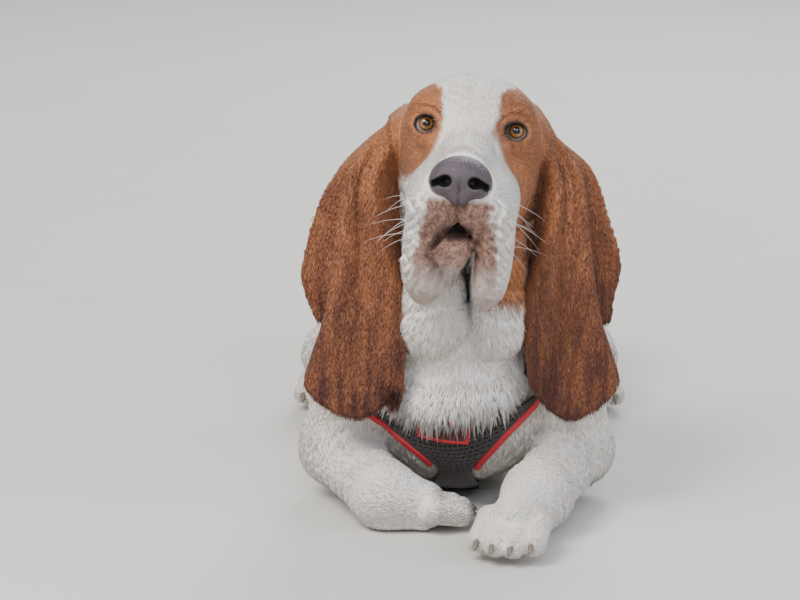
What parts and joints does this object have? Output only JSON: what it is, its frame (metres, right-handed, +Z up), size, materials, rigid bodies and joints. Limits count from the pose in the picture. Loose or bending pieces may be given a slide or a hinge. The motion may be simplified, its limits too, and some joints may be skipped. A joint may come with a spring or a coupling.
{
  "type": "basset hound model",
  "caption": "Still, life-size basset hound lying on its brisket with raised head and long ears, wearing a mesh harness.",
  "frame": {"origin": "on the floor under the middle of the belly, on the flat where the loin rests", "axes": "+Z up, the dog faces -Y, +X to its left side"},
  "size_m": [0.2973, 0.8544, 0.3731],
  "materials": {
    "white_coat": "short smooth white hair",
    "tan_coat": "short smooth red-brown hair",
    "nose_leather": "moist pebbled skin",
    "eye": "wet, clear cornea over an amber iris",
    "air_mesh": "knitted spacer mesh with oval holes",
    "red_webbing": "woven polyester binding",
    "ring_steel": "plated wire",
    "buckle_plastic": "moulded acetal"
  },
  "bodies": {
    "root": {"head": "tan_coat", "lower_jaw": "white_coat", "nose": "nose_leather", "left_eye": "eye", "right_eye": "eye", "left_ear": "tan_coat", "right_ear": "tan_coat", "neck": "white_coat", "chest": "white_coat", "loin": "white_coat", "rump": "white_coat", "tail": "white_coat", "left_foreleg": "white_coat", "right_foreleg": "white_coat", "left_forepaw": "white_coat", "right_forepaw": "white_coat", "left_thigh": "white_coat", "right_thigh": "white_coat", "left_hindpaw": "white_coat", "right_hindpaw": "white_coat", "chest_panel": "air_mesh", "left_shoulder_band": "air_mesh", "right_shoulder_band": "air_mesh", "back_panel": "air_mesh", "sternum_strap": "air_mesh", "left_trim": "red_webbing", "right_trim": "red_webbing", "label": "red_webbing", "belly_strap": "red_webbing", "left_girth_strap": "red_webbing", "right_girth_strap": "red_webbing", "ring_keeper": "red_webbing", "lead_ring": "ring_steel", "buckle": "buckle_plastic"}
  },
  "joints": []
}
